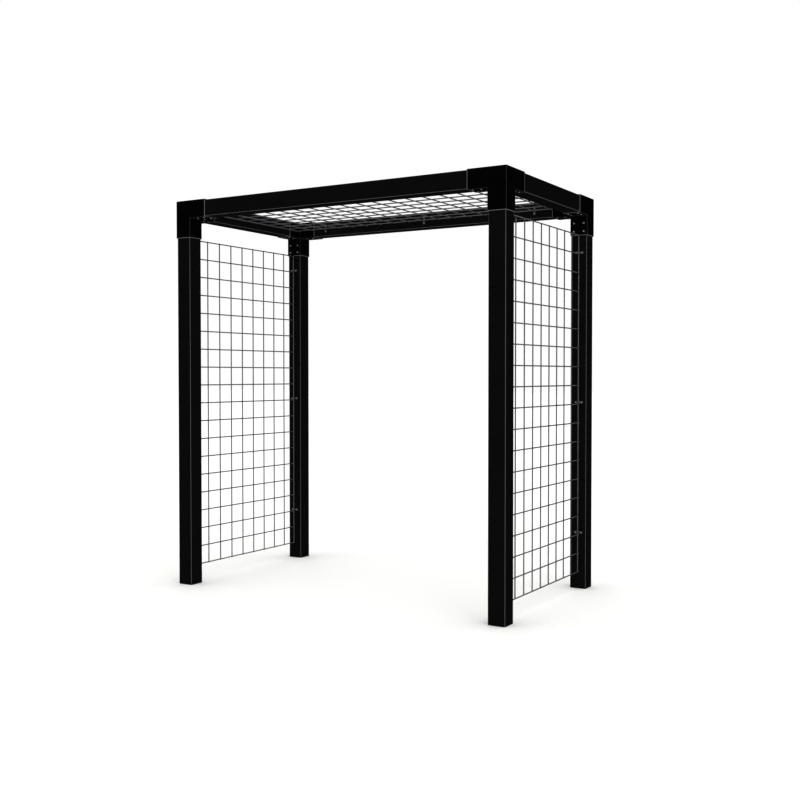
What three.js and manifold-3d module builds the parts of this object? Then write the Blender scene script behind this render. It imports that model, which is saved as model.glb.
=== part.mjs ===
// Metal trellis arch: a walk-through garden frame of square steel tube.
// Four posts and four beams are joined by three-way corner brackets, with
// welded wire mesh in both sides and in the roof, held by screwed clips.
// Millimetres, +Z up, +X along the long beams. The origin is on the ground,
// in the middle of the arch. Front is towards -Y.

import * as THREE from 'three';
import { mergeVertices } from 'three/addons/utils/BufferGeometryUtils.js';
import Module from 'manifold-3d';

const wasm = await Module();
wasm.setup();

// ---- Driving dimensions ---------------------------------------------------

// Overall, over the outer faces of the posts and to the top of the brackets
const archWidth = 2006.6;
const archDepth = 1111;
const archHeight = 2128.6;

// Square tube of the posts and beams
const tubeSize = 88.9;
const tubeWall = 1.5;
const tubeCorner = 4;
const tubeCornerSteps = 2;
const jointGap = 1; // between one tube and the tube that it butts against

// Three-way corner brackets of folded plate
const bracketWall = 3;
const bracketFit = 0.86; // clearance to the tube inside, on each side
const bracketLeg = 204; // from a bracket's outer face to the end of a leg

// Self-drilling screws with hexagon heads that hold the brackets
const bracketScrewRadius = 2.4;
const bracketScrewLength = 16;
const bracketHeadRadius = 5.2;
const bracketHeadHeight = 4;
const bracketScrewSpread = 27.8; // from a leg's centre line to each column
const bracketScrewEnd = 21.5; // from a leg's end to the first row
const bracketScrewRowPitch = 44.5;

// Welded wire mesh
const wireWidth = 3.6; // square bar with the section of 4.06 mm round wire
const wirePitch = 101.6; // the spacing that each panel comes nearest to
const sideMeshInset = 42; // from a post's outer face to the mesh
const sideMeshFloorGap = 94.5;
const sideMeshTopGap = 1.3; // from the brackets' ends down to the top wire's middle
const wireEdgeGap = 9.4; // from a tube's face to the middle of the wire that clips hold
const roofMeshEndGap = 1.34; // between the corner brackets and the side of the last wire

// Clips: a strap over the edge wire, with a screw on each side
const clipWidth = 13;
const clipThickness = 1.5;
const clipScrewSpread = 16; // from the wire to each screw
const clipScrewEnd = 8; // from a screw to the strap's end
const clipScrewRadius = 2;
const clipScrewLength = 12;
const clipHeadRadius = 4.4;
const clipHeadHeight = 3;
const clipWireGap = 0.5; // between the wire and the strap round it
const clipSideGap = 1.2; // between the strap and the crossing wire beside it
const clipEndWires = 2; // wires left between a clip and the mesh's end
const topClipWires = 1; // the same at the top of the side mesh

// Plastic plug in the bottom of each post
const plugWall = 2.5;
const plugFloor = 4;
const plugHeight = 30;

// Clearances between pieces that touch
const restGap = 0.3;
const holeGap = 0.5; // round a screw in its hole

// ---- Derived places -------------------------------------------------------

const halfWidth = archWidth / 2;
const halfDepth = archDepth / 2;
const bracketProud = bracketWall + bracketFit;
const bracketSize = tubeSize + 2 * bracketProud;
const beamTop = archHeight - bracketProud;
const beamBottom = beamTop - tubeSize;
const postTop = beamBottom - jointGap;
const legEnd = archHeight - bracketLeg;
const postX = halfWidth - tubeSize / 2;
const postY = halfDepth - tubeSize / 2;
const clipLength = 2 * (clipScrewSpread + clipScrewEnd);
const clipShift = wireWidth / 2 + clipSideGap + clipWidth / 2;

// ---- Shape helpers --------------------------------------------------------

function toSolid(geometry) {
  const bare = geometry.index ? geometry.toNonIndexed() : geometry.clone();
  bare.deleteAttribute('normal');
  bare.deleteAttribute('uv');
  const merged = mergeVertices(bare, 1e-4);
  return new wasm.Manifold(new wasm.Mesh({
    numProp: 3,
    vertProperties: new Float32Array(merged.attributes.position.array),
    triVerts: new Uint32Array(merged.index.array),
  }));
}

function toGeometry(solid) {
  const mesh = solid.getMesh();
  const geometry = new THREE.BufferGeometry();
  geometry.setAttribute('position', new THREE.BufferAttribute(mesh.vertProperties, 3));
  geometry.setIndex(new THREE.BufferAttribute(mesh.triVerts, 1));
  const faceted = geometry.toNonIndexed();
  faceted.computeVertexNormals();
  return faceted;
}

// A block from its lowest to its highest corner.
function block(low, high) {
  const size = high.map((value, axis) => value - low[axis]);
  const geometry = new THREE.BoxGeometry(...size);
  geometry.translate(...low.map((value, axis) => value + size[axis] / 2));
  return toSolid(geometry);
}

function cutAll(solid, tools) {
  return tools.reduce((left, tool) => left.subtract(tool), solid);
}

function joinAll(solids) {
  return solids.reduce((left, right) => left.add(right));
}

// Outline of a square with round corners.
function squareOutline(path, size, corner) {
  const reach = size / 2 - corner;
  [[1, 1], [-1, 1], [-1, -1], [1, -1]].forEach(([x, y], quarter) => {
    const start = quarter * Math.PI / 2;
    for (let step = 0; step <= tubeCornerSteps; step += 1) {
      const angle = start + (step / tubeCornerSteps) * Math.PI / 2;
      const px = x * reach + corner * Math.cos(angle);
      const py = y * reach + corner * Math.sin(angle);
      if (quarter + step === 0) path.moveTo(px, py);
      else path.lineTo(px, py);
    }
  });
  path.closePath();
  return path;
}

// Square tube along +Z from 0, centred on the axis.
function squareTube(length) {
  const shape = squareOutline(new THREE.Shape(), tubeSize, tubeCorner);
  const bore = tubeSize - 2 * tubeWall;
  shape.holes.push(squareOutline(new THREE.Path(), bore, tubeCorner - tubeWall));
  return new THREE.ExtrudeGeometry(shape, { depth: length, bevelEnabled: false });
}

// A six-sided prism along +Y, centred on the origin.
function hexagonPrism(radius, length) {
  const prism = new THREE.CylinderGeometry(radius, radius, length, 6);
  prism.rotateY(Math.PI / 6);
  return prism;
}

// A screw whose head stands towards -Y and sits on the plane y = 0.
function screw(radius, length, headRadius, headHeight) {
  const profile = [
    [0, -headHeight], [headRadius, -headHeight], [headRadius, 0],
    [radius, 0], [radius, length], [0, length],
  ];
  const points = profile.map(([r, y]) => new THREE.Vector2(r, y));
  const geometry = new THREE.LatheGeometry(points, 6);
  geometry.rotateY(Math.PI / 6);
  return toSolid(geometry);
}

// ---- Pieces ---------------------------------------------------------------

// Heights of the side clips' middles, just above the wires that they steady.
function sideClipHeights(rows) {
  const wires = [clipEndWires, (rows.count - 1) / 2, rows.count - 1 - topClipWires];
  return wires.map((wire) => rows.start + Math.round(wire) * rows.pitch + clipShift);
}

function roofClipPlaces(columns) {
  const wires = [clipEndWires, (columns.count - 1) / 2, columns.count - 1 - clipEndWires];
  return wires.map((wire) => columns.start + Math.round(wire) * columns.pitch - clipShift);
}

// Even spacing of wires from start to end, as near wirePitch as whole cells allow.
function spacing(start, end) {
  const cells = Math.max(1, Math.round((end - start) / wirePitch));
  return { start, count: cells + 1, pitch: (end - start) / cells };
}

const innerHalfWidth = halfWidth - tubeSize;
const innerHalfDepth = halfDepth - tubeSize;
const meshRows = spacing(sideMeshFloorGap, legEnd - sideMeshTopGap);
const meshDepths = spacing(-innerHalfDepth + wireEdgeGap, innerHalfDepth - wireEdgeGap);
const roofEndX = innerHalfWidth - bracketProud - roofMeshEndGap - wireWidth / 2;
const roofColumns = spacing(-roofEndX, roofEndX);

// Two clip screws' holes, cut through one wall whose face is the plane y = 0
// of the clip's own frame, with the strap lying along X.
function clipHoles(place) {
  return [-1, 1].map((side) => {
    const hole = hexagonPrism(clipScrewRadius + holeGap, 4 * tubeWall);
    hole.translate(side * clipScrewSpread, 0, 0);
    return toSolid(hole.applyMatrix4(place));
  });
}

// Strap in the XY plane with its feet on y = 0 and its hump towards -Y,
// extruded along Z, with both screws fixed in it.
function clipSolid(wireHeight) {
  const inner = wireWidth / 2 + clipWireGap;
  const top = wireHeight + inner + clipThickness;
  const crown = inner + clipThickness;
  const root = crown + 2;
  const foot = restGap + clipThickness;
  const half = clipLength / 2;
  const outline = [
    [-half, restGap], [-half, foot], [-root, foot], [-crown, top], [crown, top], [root, foot],
    [half, foot], [half, restGap], [root - clipThickness, restGap],
    [inner, top - clipThickness], [-inner, top - clipThickness], [-root + clipThickness, restGap],
  ];
  const shape = new THREE.Shape(outline.map(([x, y]) => new THREE.Vector2(x, -y)));
  const strap = new THREE.ExtrudeGeometry(shape, { depth: clipWidth, bevelEnabled: false });
  strap.translate(0, 0, -clipWidth / 2);
  const screws = [-1, 1].map((side) => (
    screw(clipScrewRadius, clipScrewLength, clipHeadRadius, clipHeadHeight)
      .translate([side * clipScrewSpread, -foot, 0])
  ));
  return joinAll([toSolid(strap), ...screws]);
}

// Both edges of every wire in a spacing, in order.
function wireEdges({ start, count, pitch }) {
  const half = wireWidth / 2;
  const middles = Array.from({ length: count }, (_, index) => start + index * pitch);
  return middles.flatMap((middle) => [middle - half, middle + half]);
}

// Welded mesh in the XY plane, one bar thick. The wires' edges divide the
// panel into a grid of blocks: those on a wire are solid, those between two
// wires both ways are open, and a solid block has a wall towards an open one.
function meshPanel(columns, rows) {
  const xs = wireEdges(columns);
  const ys = wireEdges(rows);
  const half = wireWidth / 2;
  const points = [];
  const solid = (i, j) => (
    i >= 0 && j >= 0 && i < xs.length - 1 && j < ys.length - 1 && (i % 2 === 0 || j % 2 === 0)
  );
  const face = (a, b, c, d) => points.push(...a, ...b, ...c, ...a, ...c, ...d);
  const addBlock = (i, j) => {
    const [x0, x1, y0, y1] = [xs[i], xs[i + 1], ys[j], ys[j + 1]];
    const ring = [[x0, y0], [x1, y0], [x1, y1], [x0, y1]];
    const upper = ring.map(([x, y]) => [x, y, half]);
    const lower = ring.map(([x, y]) => [x, y, -half]);
    face(...upper);
    face(...[...lower].reverse());
    [[0, -1], [1, 0], [0, 1], [-1, 0]].forEach(([di, dj], side) => {
      const next = (side + 1) % 4;
      if (!solid(i + di, j + dj)) face(lower[side], lower[next], upper[next], upper[side]);
    });
  };
  for (let i = 0; i < xs.length - 1; i += 1) {
    for (let j = 0; j < ys.length - 1; j += 1) {
      if (solid(i, j)) addBlock(i, j);
    }
  }
  const geometry = new THREE.BufferGeometry();
  geometry.setAttribute('position', new THREE.Float32BufferAttribute(points, 3));
  geometry.computeVertexNormals();
  return geometry;
}

// Place of a clip on a face: wire position (x, y, z) on the face, turned so
// that the clip's -Y points along the face's outward normal (0, out, 0).
function clipPlace(x, y, z, out, upright) {
  const turn = new THREE.Matrix4().makeRotationZ(out < 0 ? 0 : Math.PI);
  const tip = new THREE.Matrix4().makeRotationY(upright ? Math.PI / 2 : 0);
  return new THREE.Matrix4().makeTranslation(x, y, z).multiply(turn).multiply(tip);
}

// Bracket for one corner, in the frame of its corner cube's middle. The legs
// run down and towards toX and toY.
function bracketSolid(toX, toY) {
  const half = bracketSize / 2;
  const reach = bracketLeg - half;
  const legs = (wall, over) => {
    const h = half - wall;
    const end = reach + over;
    const span = (sign) => (sign > 0 ? [-h, end] : [-end, h]);
    const [x0, x1] = span(toX);
    const [y0, y1] = span(toY);
    return joinAll([
      block([-h, -h, -end], [h, h, h]),
      block([x0, -h, -h], [x1, h, h]),
      block([-h, y0, -h], [h, y1, h]),
    ]);
  };
  return legs(0, 0).subtract(legs(bracketWall, 1));
}

// Screw places on a vertical leg: x from the leg's centre line, and z.
function bracketScrewPlaces() {
  const rows = [bracketScrewEnd + bracketScrewRowPitch, bracketScrewEnd];
  return rows.flatMap((row, upDown) => [-1, 1].map((side) => ({
    name: `${['upper', 'lower'][upDown]}_${side < 0 ? 'left' : 'right'}`,
    x: side * bracketScrewSpread,
    z: legEnd + row,
  })));
}

// ---- Finishes -------------------------------------------------------------

const finishes = {
  powderCoat: { color: 0x0b0b0c, roughness: 0.42, metalness: 0 },
  bracketCoat: { color: 0x070708, roughness: 0.5, metalness: 0 },
  meshCoat: { color: 0x0d0d0e, roughness: 0.4, metalness: 0 },
  blackScrew: { color: 0x2c2c2e, roughness: 0.35, metalness: 0.8 },
  plugPlastic: { color: 0x121213, roughness: 0.7, metalness: 0 },
};

const group = new THREE.Group();

function addMesh(name, geometry, finish) {
  const mesh = new THREE.Mesh(geometry, new THREE.MeshStandardMaterial(finishes[finish]));
  mesh.name = name;
  group.add(mesh);
  return mesh;
}

// ---- Assembly -------------------------------------------------------------

const corners = [
  { name: 'front_left', x: -1, y: -1 },
  { name: 'front_right', x: 1, y: -1 },
  { name: 'back_left', x: -1, y: 1 },
  { name: 'back_right', x: 1, y: 1 },
];

const meshX = halfWidth - sideMeshInset;
const clipHeightNames = ['lower', 'middle', 'upper'];
const clipSideNames = ['left', 'centre', 'right'];
const roofClipX = roofClipPlaces(roofColumns);
const sideClipZ = sideClipHeights(meshRows);
const beamMiddle = (beamTop + beamBottom) / 2;

function addPost({ name, x, y }) {
  const faceY = y * innerHalfDepth;
  const holes = sideClipZ.flatMap((z) => clipHoles(clipPlace(x * meshX, faceY, z, -y, false)));
  bracketScrewPlaces().forEach((place) => {
    const hole = hexagonPrism(bracketScrewRadius + holeGap, 4 * tubeWall);
    hole.translate(x * postX + place.x, faceY, place.z);
    holes.push(toSolid(hole));
  });
  const tube = toSolid(squareTube(postTop)).translate([x * postX, y * postY, 0]);
  addMesh(`post_${name}`, toGeometry(cutAll(tube, holes)), 'powderCoat');
}

function addLongBeam(name, y) {
  const faceY = y * innerHalfDepth;
  const holes = roofClipX.flatMap((x) => clipHoles(clipPlace(x, faceY, beamMiddle, -y, true)));
  const geometry = squareTube(archWidth);
  geometry.rotateY(Math.PI / 2);
  const tube = toSolid(geometry).translate([-halfWidth, y * postY, beamMiddle]);
  addMesh(`beam_${name}`, toGeometry(cutAll(tube, holes)), 'powderCoat');
}

function addShortBeam(name, x) {
  const length = archDepth - 2 * (tubeSize + jointGap);
  const beam = addMesh(`beam_${name}`, squareTube(length), 'powderCoat');
  beam.rotation.x = -Math.PI / 2;
  beam.position.set(x * postX, -length / 2, beamMiddle);
}

function addBracket({ name, x, y }) {
  const middleZ = archHeight - bracketSize / 2;
  const faceY = y * (postY - bracketSize / 2);
  const holes = bracketScrewPlaces().map((place) => {
    const hole = hexagonPrism(bracketScrewRadius + holeGap, 4 * bracketWall);
    hole.translate(x * postX + place.x, faceY, place.z);
    return toSolid(hole);
  });
  const solid = bracketSolid(-x, -y).translate([x * postX, y * postY, middleZ]);
  addMesh(`corner_bracket_${name}`, toGeometry(cutAll(solid, holes)), 'bracketCoat');
}

function addBracketScrews({ name, x, y }) {
  const faceY = y * (postY - bracketSize / 2 - restGap);
  bracketScrewPlaces().forEach((place) => {
    const solid = screw(bracketScrewRadius, bracketScrewLength, bracketHeadRadius, bracketHeadHeight);
    const geometry = toGeometry(solid);
    const mesh = addMesh(`bracket_screw_${name}_${place.name}`, geometry, 'blackScrew');
    mesh.rotation.z = y > 0 ? 0 : Math.PI;
    mesh.position.set(x * postX + place.x, faceY, place.z);
  });
}

function addClip(name, place) {
  const clip = addMesh(name, toGeometry(clipSolid(wireEdgeGap)), 'powderCoat');
  clip.applyMatrix4(place);
}

function addSideClips({ name, x, y }) {
  sideClipZ.forEach((z, level) => {
    const place = clipPlace(x * meshX, y * innerHalfDepth, z, -y, false);
    addClip(`mesh_clip_${name}_${clipHeightNames[level]}`, place);
  });
}

function addRoofClips(name, y) {
  roofClipX.forEach((x, index) => {
    const place = clipPlace(x, y * innerHalfDepth, beamMiddle, -y, true);
    addClip(`roof_clip_${name}_${clipSideNames[index]}`, place);
  });
}

function addSideMesh(name, x) {
  // Turned so that the panel's X runs along Y and its Y runs up Z.
  const panel = addMesh(`mesh_side_${name}`, meshPanel(meshDepths, meshRows), 'meshCoat');
  panel.rotation.set(Math.PI / 2, 0, Math.PI / 2, 'ZYX');
  panel.position.x = x * meshX;
}

function addRoofMesh() {
  const panel = addMesh('mesh_roof', meshPanel(roofColumns, meshDepths), 'meshCoat');
  panel.position.z = beamMiddle;
}

// An open-topped cup that fits inside the post and rests on the ground.
function addPlug({ name, x, y }) {
  const half = tubeSize / 2 - tubeWall - restGap;
  const shape = squareOutline(new THREE.Shape(), 2 * half, tubeCorner - tubeWall);
  const body = new THREE.ExtrudeGeometry(shape, { depth: plugHeight, bevelEnabled: false });
  const inside = half - plugWall;
  const hollow = block([-inside, -inside, plugFloor], [inside, inside, plugHeight + 1]);
  const plug = addMesh(`foot_plug_${name}`, toGeometry(toSolid(body).subtract(hollow)), 'plugPlastic');
  plug.position.set(x * postX, y * postY, 0);
}

corners.forEach((corner) => {
  addPost(corner);
  addPlug(corner);
  addBracket(corner);
  addBracketScrews(corner);
  addSideClips(corner);
});
[['front', -1], ['back', 1]].forEach(([name, y]) => {
  addLongBeam(name, y);
  addRoofClips(name, y);
});
[['left', -1], ['right', 1]].forEach(([name, x]) => {
  addShortBeam(name, x);
  addSideMesh(name, x);
});
addRoofMesh();

export default group;
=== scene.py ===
"""Metal trellis arch: the finished surfaces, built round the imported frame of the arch.

Square steel tubes, three-way corner sleeves, welded wire panels, clips, screws and foot inserts.
Everything is in metres, +Z up, with the origin on the ground in the middle of the arch.
"""

import math

import bmesh
import bpy
from mathutils import Matrix, Vector


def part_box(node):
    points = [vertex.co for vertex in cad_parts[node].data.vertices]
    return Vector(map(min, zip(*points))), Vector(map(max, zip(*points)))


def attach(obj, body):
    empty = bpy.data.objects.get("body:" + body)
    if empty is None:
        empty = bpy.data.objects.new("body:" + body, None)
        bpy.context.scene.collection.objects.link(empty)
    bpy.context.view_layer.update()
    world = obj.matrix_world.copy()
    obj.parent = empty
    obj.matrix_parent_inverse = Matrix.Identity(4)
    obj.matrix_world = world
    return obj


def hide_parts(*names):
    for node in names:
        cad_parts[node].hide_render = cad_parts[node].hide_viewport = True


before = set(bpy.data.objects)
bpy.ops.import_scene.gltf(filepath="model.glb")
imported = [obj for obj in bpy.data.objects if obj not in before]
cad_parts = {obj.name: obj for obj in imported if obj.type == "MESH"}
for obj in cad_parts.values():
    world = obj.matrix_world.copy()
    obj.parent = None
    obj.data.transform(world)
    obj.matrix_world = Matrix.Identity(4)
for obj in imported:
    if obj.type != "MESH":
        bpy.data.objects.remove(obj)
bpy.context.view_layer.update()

bl_info = {
    "name": "Metal Trellis Arch",
    "version": (1, 0, 0),
    "blender": (4, 5, 0),
    "location": "3D View > Sidebar > Arch",
    "description": "Builds the finished surfaces of a garden trellis arch of square tube and welded wire",
    "category": "Add Mesh",
}

MM = 0.001
BODY = "root"
CORNERS = {
    "front_left": (-1, -1),
    "front_right": (1, -1),
    "back_left": (-1, 1),
    "back_right": (1, 1),
}
SCREW_ROWS = ("upper", "lower")
SCREW_SIDES = ("left", "right")
CLIP_LEVELS = ("lower", "middle", "upper")
CLIP_PLACES = ("left", "centre", "right")

TUBE_HOLE = 2.6 * MM
SLEEVE_HOLE = 2.7 * MM
SLEEVE_SCREW = {"head": 4 * MM, "shank": 2.4 * MM, "run": 16 * MM}
CLIP_SCREW = {"head": 3 * MM, "shank": 2 * MM, "run": 12 * MM}
STRAP_END = 8 * MM  # from a clip's screw to the end of its strap
STRAP_REST = 0.3 * MM  # coat between a strap and its tube
CLIP_SEEDS = 20  # keeps the clip screws' seeds apart from the sleeve screws'

FLOOR_REACH = 60
SOFTBOX = {"at": (7.6, -4.5, 3.4), "aim": (0, 0, 1.1), "side": 4}
CAMERA = {"at": (3.0774, -4.9569, 1.1654), "tilt": 88.655, "turn": 30.954, "lens": 47.39, "sensor": 36}
DISPLAY_GAMMA = 0.75

EVEN_NORMALS = ("WEIGHTED_NORMAL", {"mode": "FACE_AREA", "weight": 50, "keep_sharp": True})

NOISE = "ShaderNodeTexNoise"
RANGE = "ShaderNodeMapRange"
MIX = "ShaderNodeMix"
MATH = "ShaderNodeMath"
BUMP = "ShaderNodeBump"
MOST = {"From Min": 0.3, "From Max": 0.7}  # where most of a noise's values lie


def linear(code):
    """An sRGB hex colour as linear red, green, blue and alpha."""
    values = [int(code[i : i + 2], 16) / 255 for i in (1, 3, 5)]
    return (*(v / 12.92 if v <= 0.04045 else ((v + 0.055) / 1.055) ** 2.4 for v in values), 1.0)


# ---- What a user can change ----


def amount(name, about, default, unit="NONE"):
    """A number property that can't be negative."""
    return bpy.props.FloatProperty(
        name=name, description=about, default=default, min=0, unit=unit, precision=5
    )


def length(name, about, millimetres):
    """A length property with its default given in millimetres."""
    return amount(name, about, millimetres * MM, "LENGTH")


def whole(name, about, default, least=0):
    """A whole number property."""
    return bpy.props.IntProperty(name=name, description=about, default=default, min=least)


def colour(name, about, code):
    """A colour property with its default given as sRGB hex."""
    return bpy.props.FloatVectorProperty(
        name=name, description=about, default=linear(code), size=4, min=0, max=1, subtype="COLOR"
    )


class TubeSettings(bpy.types.PropertyGroup):
    corner: length("Corner radius", "Outer radius of the tube's rolled corners", 2.5)
    wall: length("Wall", "Wall of the tube", 1.5)
    burr: length("End chamfer", "Deburred edge at the cut ends", 0.4)
    steps: whole("Corner steps", "Facets in each rolled corner", 8, 2)


class SleeveSettings(bpy.types.PropertyGroup):
    wall: length("Plate", "Thickness of the folded plate", 3)
    fold: length("Fold radius", "Outer radius of the folds and of the weld fillets", 2)
    rim: length("Rim chamfer", "Broken edge at the open ends", 1.2)
    # Behind each rim, a band this wide gets the full painted highlight.
    thin: length("Thin coat", "Width of the band behind each rim where the coat is thin", 2.6)


class PanelSettings(bpy.types.PropertyGroup):
    wire: length("Wire", "Diameter of the coated wire", 6)
    pitch: length("Pitch", "Nominal spacing of the wires", 101.6)
    sink: length("Weld sink", "How far the wires are pressed into each other", 0.5)
    stub: length("Stub", "Length of each wire past the outermost crossing wire", 3)
    nugget: length("Weld width", "Width of the weld where two wires cross", 7.2)
    seed: whole("Seed", "Varies the welds", 7)


class FastenerSettings(bpy.types.PropertyGroup):
    flange: length("Flange", "Width of a sleeve screw's washer flange", 10.4)
    flats: length("Across flats", "Width of a sleeve screw's hexagon", 8)
    clip_flange: length("Clip flange", "Width of a clip screw's washer flange", 8.8)
    clip_flats: length("Clip flats", "Width of a clip screw's hexagon", 6.4)
    strap_width: length("Strap width", "Width of a clip's strap", 13)
    strap: length("Strap", "Thickness of a clip's strap", 1.5)
    seed: whole("Seed", "Turns the screw heads", 3)


class FinishSettings(bpy.types.PropertyGroup):
    tube: colour("Tubes", "Satin powder coat on the tubes", "#111112")
    tube_light: colour("Tube haze", "Lighter patches of the satin coat", "#141415")
    # The tube edge colour is a painted highlight along the corners, over a coat that thins a little there.
    tube_edge_highlight: colour("Tube edges", "Coat where it is thin over the corners", "#7C7C7F")
    sleeve: colour("Sleeves", "Fine matt powder coat on the sleeves", "#060606")
    # The sleeve edge colour is a painted highlight on the folds and rims, over a coat that thins a little
    # there.
    sleeve_edge_highlight: colour("Sleeve edges", "Matt coat where it is thin over the rims", "#76767A")
    wire: colour("Wire", "Coating of the welded wire", "#5C5C5F")
    strap: colour("Clip straps", "Black zinc on the clip straps", "#66666A")
    screw: colour("Screws", "Dull zinc flake coating", "#B9BABE")
    insert: colour("Inserts", "Moulded plastic of the foot inserts", "#2A2A2B")


class StageSettings(bpy.types.PropertyGroup):
    floor: colour("Floor", "Plain pale floor", "#F4F4F2")
    tent: amount("Tent", "Even light of the white tent round the arch", 1.25)
    gloss: amount("Gloss", "How bright the tent is in a gloss surface", 0.03)
    side: amount("Side", "Softbox to the right of the camera", 80, "POWER")


SETTINGS = {
    "arch_tube": TubeSettings,
    "arch_sleeve": SleeveSettings,
    "arch_panel": PanelSettings,
    "arch_fastener": FastenerSettings,
    "arch_finish": FinishSettings,
    "arch_stage": StageSettings,
}


# ---- Mesh helpers ----


def new_object(name, mesh):
    """A linked object holding mesh, at the origin."""
    made = bpy.data.objects.new(name, mesh)
    bpy.context.scene.collection.objects.link(made)
    return made


def mesh_from(name, bm, smooth_angle=None):
    """Turns bm into a mesh with its faces pointing out, smooth below smooth_angle."""
    bmesh.ops.remove_doubles(bm, verts=bm.verts, dist=1e-7)
    bmesh.ops.recalc_face_normals(bm, faces=bm.faces)
    mesh = bpy.data.meshes.new(name)
    bm.to_mesh(mesh)
    bm.free()
    if smooth_angle is not None:
        smooth(mesh, smooth_angle)
    return mesh


def smooth(mesh, degrees):
    """Shades the mesh smooth, with sharp edges where it turns by more than degrees."""
    mesh.shade_smooth()
    mesh.set_sharp_from_angle(angle=math.radians(degrees))


def loft(rings, closed=False):
    """A skin over rings that have the same number of points: closed in a loop, or capped."""
    bm = bmesh.new()
    rows = [[bm.verts.new(point) for point in ring] for ring in rings]
    for lower, upper in zip(rows, rows[1:] + rows[:1] if closed else rows[1:]):
        for i in range(len(lower)):
            j = (i + 1) % len(lower)
            bm.faces.new((lower[i], lower[j], upper[j], upper[i]))
    if not closed:
        bm.faces.new(rows[0])
        bm.faces.new(rows[-1])
    return bm


def square_ring(half, corner, steps, z):
    """A square with round corners, at height z."""
    reach = half - corner
    ring = []
    for quarter, (x, y) in enumerate(((1, 1), (-1, 1), (-1, -1), (1, -1))):
        for step in range(steps + 1):
            angle = (quarter + step / steps) * math.pi / 2
            ring.append((x * reach + corner * math.cos(angle), y * reach + corner * math.sin(angle), z))
    return ring


def round_ring(radius, z, count):
    """A circle at height z."""
    turns = (2 * math.pi * i / count for i in range(count))
    return [(radius * math.cos(a), radius * math.sin(a), z) for a in turns]


def settle(obj, *modifiers):
    """Adds the modifiers, replaces the mesh by its evaluated result and removes them."""
    for kind, values in modifiers:
        modifier = obj.modifiers.new(kind.lower(), kind)
        for name, value in values.items():
            setattr(modifier, name, value)
    graph = bpy.context.evaluated_depsgraph_get()
    made = bpy.data.meshes.new_from_object(obj.evaluated_get(graph))
    obj.modifiers.clear()
    old = obj.data
    obj.data = made
    made.name = obj.name
    bpy.data.meshes.remove(old)
    return obj


def cut(obj, tool):
    """Cuts the tool object's shape out of obj, removes the tool and evens the normals."""
    holes = {"object": tool, "operation": "DIFFERENCE", "solver": "EXACT"}
    settle(obj, ("BOOLEAN", holes), EVEN_NORMALS)
    discard(tool)


def discard(obj):
    """Removes an object that was only a tool, and its mesh."""
    mesh = obj.data
    bpy.data.objects.remove(obj)
    bpy.data.meshes.remove(mesh)


def drills(places, radius, depth, count=12):
    """One object of round cutters: each place is a point and the direction that it is drilled in."""
    bm = bmesh.new()
    size = {"segments": count, "radius1": radius, "radius2": radius, "depth": 2 * depth}
    for point, direction in places:
        turn = Vector(direction).to_track_quat("Z", "Y").to_matrix().to_4x4()
        place = Matrix.Translation(point) @ turn
        bmesh.ops.create_cone(bm, cap_ends=True, matrix=place, **size)
    return new_object("drills", mesh_from("drills", bm))


def mark_sleeve_edge_highlight(mesh, centre, reach, sleeve):
    """Stores where a sleeve gets its painted highlight: partly on its folds, fully on its open rims."""
    rub = mesh.attributes.new("rub", "FLOAT", "POINT")
    flat, turned = math.radians(5), math.radians(25)
    on_folds = 0.8
    for vertex in mesh.vertices:
        lean = math.acos(min(1, max(abs(n) for n in vertex.normal)))
        share = min(1, max(0, (lean - flat) / (turned - flat)))
        on_rim = max(abs(n) for n in vertex.co - centre) > reach - 1.01 * sleeve.thin
        rub.data[vertex.index].value = 1 if on_rim else on_folds * share


def complete(obj, finish, slot, *nodes):
    """Gives a piece its finish, fixes it to the frame and hides the nodes that it stands for."""
    obj.data.materials.clear()
    obj.data.materials.append(finish_for(finish))
    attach(obj, BODY)
    if nodes:
        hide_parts(*nodes)
    return obj


# ---- Node helpers ----


def add(tree, kind, inputs=None, out=0, **settings):
    """Adds a node with its settings and gives its output out. An input is a value, or an output
    of another node to link from."""
    node = tree.nodes.new(kind)
    for name, value in settings.items():
        setattr(node, name, value)
    for key, value in (inputs or {}).items():
        if isinstance(value, bpy.types.NodeSocket):
            tree.links.new(value, node.inputs[key])
        else:
            node.inputs[key].default_value = value
    return node.outputs[out] if node.outputs else None


def new_tree(name, sockets):
    """An empty geometry tree with the named inputs and a Geometry output, and those inputs."""
    tree = bpy.data.node_groups.new(name, "GeometryNodeTree")
    for label, kind in ({"Geometry": "Geometry"} | sockets).items():
        tree.interface.new_socket(label, in_out="INPUT", socket_type=f"NodeSocket{kind}")
    tree.interface.new_socket("Geometry", in_out="OUTPUT", socket_type="NodeSocketGeometry")
    return tree, add(tree, "NodeGroupInput").node.outputs


def end_tree(tree, geometry, material):
    """Ends a tree in Realize Instances and Set Material."""
    solid = add(tree, "GeometryNodeRealizeInstances", {"Geometry": geometry})
    faced = add(tree, "GeometryNodeSetMaterial", {"Geometry": solid, "Material": material})
    add(tree, "NodeGroupOutput", {"Geometry": faced})
    return tree


def grow(obj, tree, values):
    """Runs a geometry tree on obj with these inputs and keeps the result as a plain mesh."""
    modifier = obj.modifiers.new(tree.name, "NODES")
    modifier.node_group = tree
    for item in tree.interface.items_tree:
        if item.in_out == "INPUT" and item.name in values:
            modifier[item.identifier] = values[item.name]
    return settle(obj)


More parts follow.
